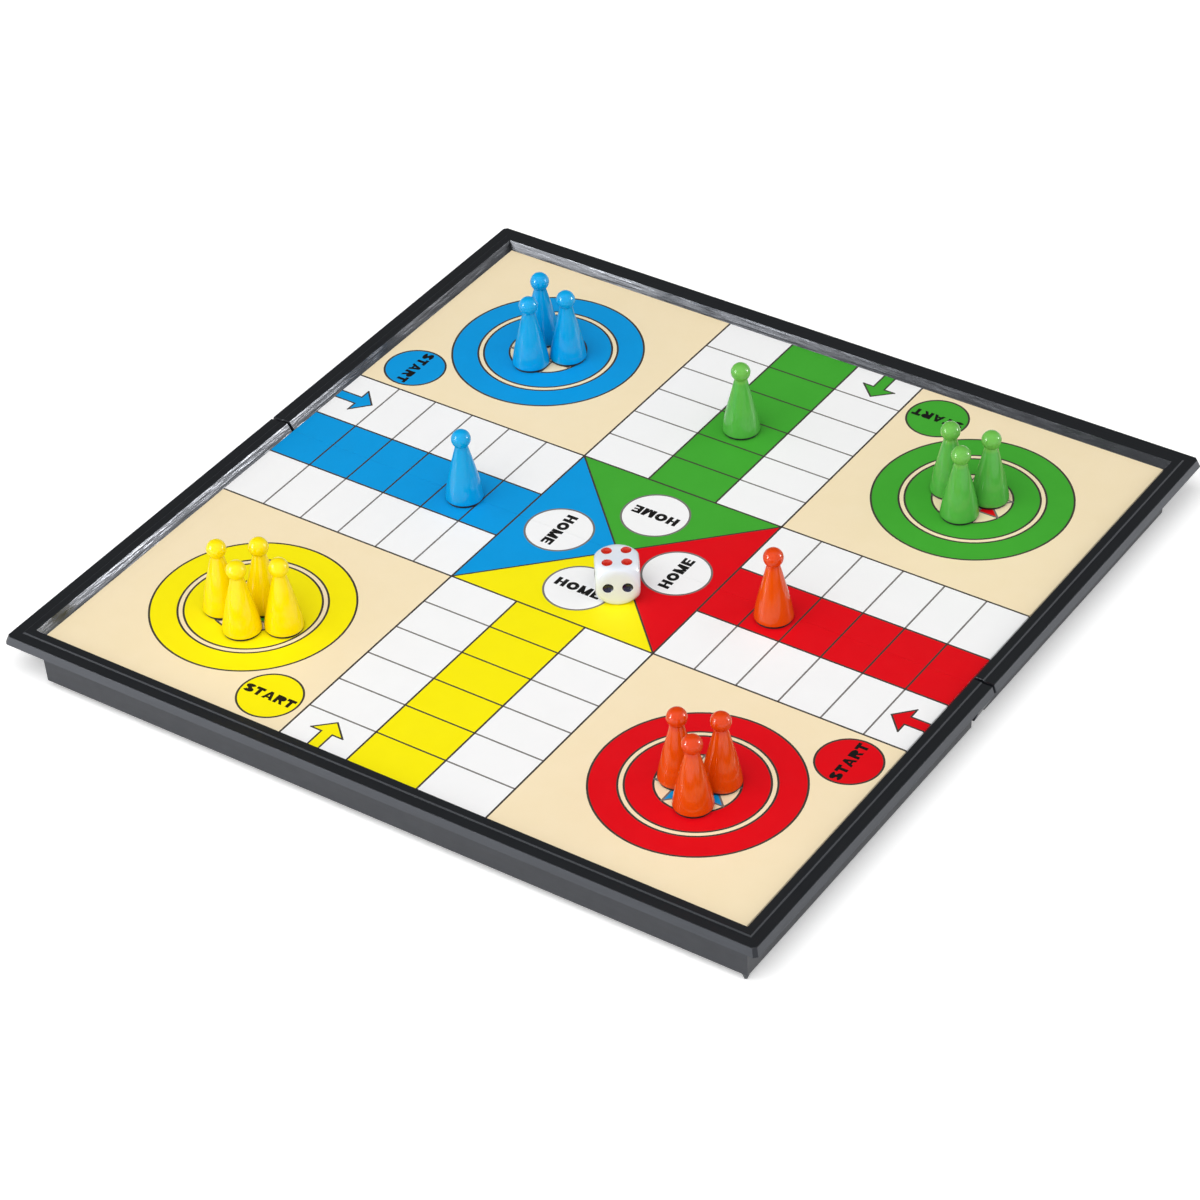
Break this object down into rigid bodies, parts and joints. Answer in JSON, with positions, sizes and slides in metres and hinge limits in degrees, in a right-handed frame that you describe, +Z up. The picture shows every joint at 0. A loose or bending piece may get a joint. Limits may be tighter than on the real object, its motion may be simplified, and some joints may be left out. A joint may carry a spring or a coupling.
{
  "type": "folding ludo board box",
  "caption": "Shallow square game box hinged along its middle, lying open as a ludo board, with magnetic pawns and a die standing on its printed face.",
  "frame": {"origin": "under the middle of the open board, on the surface it lies on", "axes": "+X along the fold, +Y across the fold towards the far half, +Z up out of the printed face"},
  "size_m": [0.2516, 0.2516, 0.0347],
  "materials": {
    "black_abs": "satin moulded black ABS",
    "tin_plate": "thin tin-plated steel",
    "printed_sheet": "printed sheet, satin film",
    "hinge_pin_steel": "drawn steel wire",
    "die_plastic": "polished white",
    "magnet": "sintered ferrite",
    "blue_pawn_plastic": "glossy moulded polystyrene",
    "green_pawn_plastic": "glossy moulded polystyrene",
    "yellow_pawn_plastic": "glossy moulded polystyrene",
    "orange_pawn_plastic": "glossy moulded polystyrene"
  },
  "bodies": {
    "near_half": {"near_tray": "black_abs", "near_steel_sheet": "tin_plate", "near_print_sheet": "printed_sheet", "hinge_pin_left": "hinge_pin_steel", "hinge_pin_right": "hinge_pin_steel"},
    "far_half": {"far_tray": "black_abs", "far_steel_sheet": "tin_plate", "far_print_sheet": "printed_sheet"},
    "blue_pawn_1": {"blue_pawn_1": "blue_pawn_plastic", "blue_magnet_1": "magnet"},
    "blue_pawn_2": {"blue_pawn_2": "blue_pawn_plastic", "blue_magnet_2": "magnet"},
    "blue_pawn_3": {"blue_pawn_3": "blue_pawn_plastic", "blue_magnet_3": "magnet"},
    "blue_pawn_4": {"blue_pawn_4": "blue_pawn_plastic", "blue_magnet_4": "magnet"},
    "green_pawn_1": {"green_pawn_1": "green_pawn_plastic", "green_magnet_1": "magnet"},
    "green_pawn_2": {"green_pawn_2": "green_pawn_plastic", "green_magnet_2": "magnet"},
    "green_pawn_3": {"green_pawn_3": "green_pawn_plastic", "green_magnet_3": "magnet"},
    "green_pawn_4": {"green_pawn_4": "green_pawn_plastic", "green_magnet_4": "magnet"},
    "yellow_pawn_1": {"yellow_pawn_1": "yellow_pawn_plastic", "yellow_magnet_1": "magnet"},
    "yellow_pawn_2": {"yellow_pawn_2": "yellow_pawn_plastic", "yellow_magnet_2": "magnet"},
    "yellow_pawn_3": {"yellow_pawn_3": "yellow_pawn_plastic", "yellow_magnet_3": "magnet"},
    "yellow_pawn_4": {"yellow_pawn_4": "yellow_pawn_plastic", "yellow_magnet_4": "magnet"},
    "orange_pawn_1": {"orange_pawn_1": "orange_pawn_plastic", "orange_magnet_1": "magnet"},
    "orange_pawn_2": {"orange_pawn_2": "orange_pawn_plastic", "orange_magnet_2": "magnet"},
    "orange_pawn_3": {"orange_pawn_3": "orange_pawn_plastic", "orange_magnet_3": "magnet"},
    "orange_pawn_4": {"orange_pawn_4": "orange_pawn_plastic", "orange_magnet_4": "magnet"},
    "die": {"die": "die_plastic"}
  },
  "joints": [
    {"name": "board_fold", "type": "hinge", "parent": "near_half", "child": "far_half", "pos_m": [0, 0, 0.0022], "axis": [-1, 0, 0], "range_deg": [0, 180]},
    {"name": "blue_pawn_1_lift", "type": "slide", "parent": "near_half", "child": "blue_pawn_1", "axis": [0, 0, 1], "range_m": [0, 0.03]},
    {"name": "blue_pawn_2_lift", "type": "slide", "parent": "far_half", "child": "blue_pawn_2", "axis": [0, 0, 1], "range_m": [0, 0.03]},
    {"name": "blue_pawn_3_lift", "type": "slide", "parent": "far_half", "child": "blue_pawn_3", "axis": [0, 0, 1], "range_m": [0, 0.03]},
    {"name": "blue_pawn_4_lift", "type": "slide", "parent": "far_half", "child": "blue_pawn_4", "axis": [0, 0, 1], "range_m": [0, 0.03]},
    {"name": "green_pawn_1_lift", "type": "slide", "parent": "far_half", "child": "green_pawn_1", "axis": [0, 0, 1], "range_m": [0, 0.03]},
    {"name": "green_pawn_2_lift", "type": "slide", "parent": "far_half", "child": "green_pawn_2", "axis": [0, 0, 1], "range_m": [0, 0.03]},
    {"name": "green_pawn_3_lift", "type": "slide", "parent": "far_half", "child": "green_pawn_3", "axis": [0, 0, 1], "range_m": [0, 0.03]},
    {"name": "green_pawn_4_lift", "type": "slide", "parent": "far_half", "child": "green_pawn_4", "axis": [0, 0, 1], "range_m": [0, 0.03]},
    {"name": "yellow_pawn_1_lift", "type": "slide", "parent": "near_half", "child": "yellow_pawn_1", "axis": [0, 0, 1], "range_m": [0, 0.03]},
    {"name": "yellow_pawn_2_lift", "type": "slide", "parent": "near_half", "child": "yellow_pawn_2", "axis": [0, 0, 1], "range_m": [0, 0.03]},
    {"name": "yellow_pawn_3_lift", "type": "slide", "parent": "near_half", "child": "yellow_pawn_3", "axis": [0, 0, 1], "range_m": [0, 0.03]},
    {"name": "yellow_pawn_4_lift", "type": "slide", "parent": "near_half", "child": "yellow_pawn_4", "axis": [0, 0, 1], "range_m": [0, 0.03]},
    {"name": "orange_pawn_1_lift", "type": "slide", "parent": "near_half", "child": "orange_pawn_1", "axis": [0, 0, 1], "range_m": [0, 0.03]},
    {"name": "orange_pawn_2_lift", "type": "slide", "parent": "near_half", "child": "orange_pawn_2", "axis": [0, 0, 1], "range_m": [0, 0.03]},
    {"name": "orange_pawn_3_lift", "type": "slide", "parent": "near_half", "child": "orange_pawn_3", "axis": [0, 0, 1], "range_m": [0, 0.03]},
    {"name": "orange_pawn_4_lift", "type": "slide", "parent": "near_half", "child": "orange_pawn_4", "axis": [0, 0, 1], "range_m": [0, 0.03]},
    {"name": "die_lift", "type": "slide", "parent": "near_half", "child": "die", "axis": [0, 0, 1], "range_m": [0, 0.03]}
  ]
}
